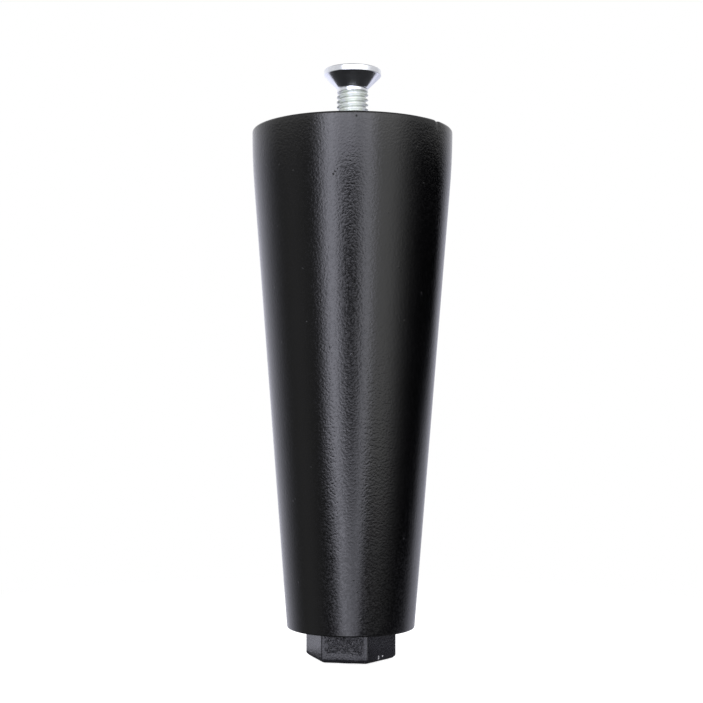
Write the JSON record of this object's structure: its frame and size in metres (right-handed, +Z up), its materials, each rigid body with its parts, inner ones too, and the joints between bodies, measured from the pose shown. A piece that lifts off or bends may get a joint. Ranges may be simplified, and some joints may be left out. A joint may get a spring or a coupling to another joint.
{
  "type": "furniture leveling foot",
  "caption": "Tapered black furniture leg with a countersunk fixing screw in its top and a height adjustable hexagonal foot screwed into its bottom end.",
  "frame": {"origin": "point of the floor on the leg's axis, under the glide pad, with the foot screwed fully in", "axes": "+Z up along the leg's axis towards the mounting screw, -Y towards the viewer of the front"},
  "size_m": [0.05, 0.05, 0.1463],
  "materials": {
    "black_coat": "satin black paint with a fine grain",
    "zinc_screw": "bright clear zinc plating",
    "zinc_insert": "dull zinc plating",
    "black_plastic": "moulded black plastic, slightly rough",
    "pad_plastic": "smooth dark grey plastic"
  },
  "bodies": {
    "leg": {"leg_shell": "black_coat", "top_plate": "black_coat", "top_bush": "zinc_insert", "bottom_plate": "black_coat", "bottom_bush": "zinc_insert"},
    "screw": {"mounting_screw": "zinc_screw"},
    "glide": {"glide_pad": "pad_plastic"},
    "foot": {"hex_foot": "black_plastic", "foot_spindle": "zinc_insert"}
  },
  "joints": [
    {"name": "screw_travel", "type": "slide", "parent": "leg", "child": "screw", "axis": [0, 0, 1], "range_m": [-0.01, 0.005]},
    {"name": "foot_height", "type": "slide", "parent": "leg", "child": "glide", "axis": [0, 0, -1], "range_m": [0, 0.015]},
    {"name": "foot_turn", "type": "hinge", "parent": "glide", "child": "foot", "pos_m": [0, 0, 0.0077], "axis": [0, 0, -1], "range_deg": [0, 4320]}
  ],
  "couplings": [
    {"joint": "foot_height", "follows": "foot_turn", "m_per_rad": 0.00019894}
  ]
}
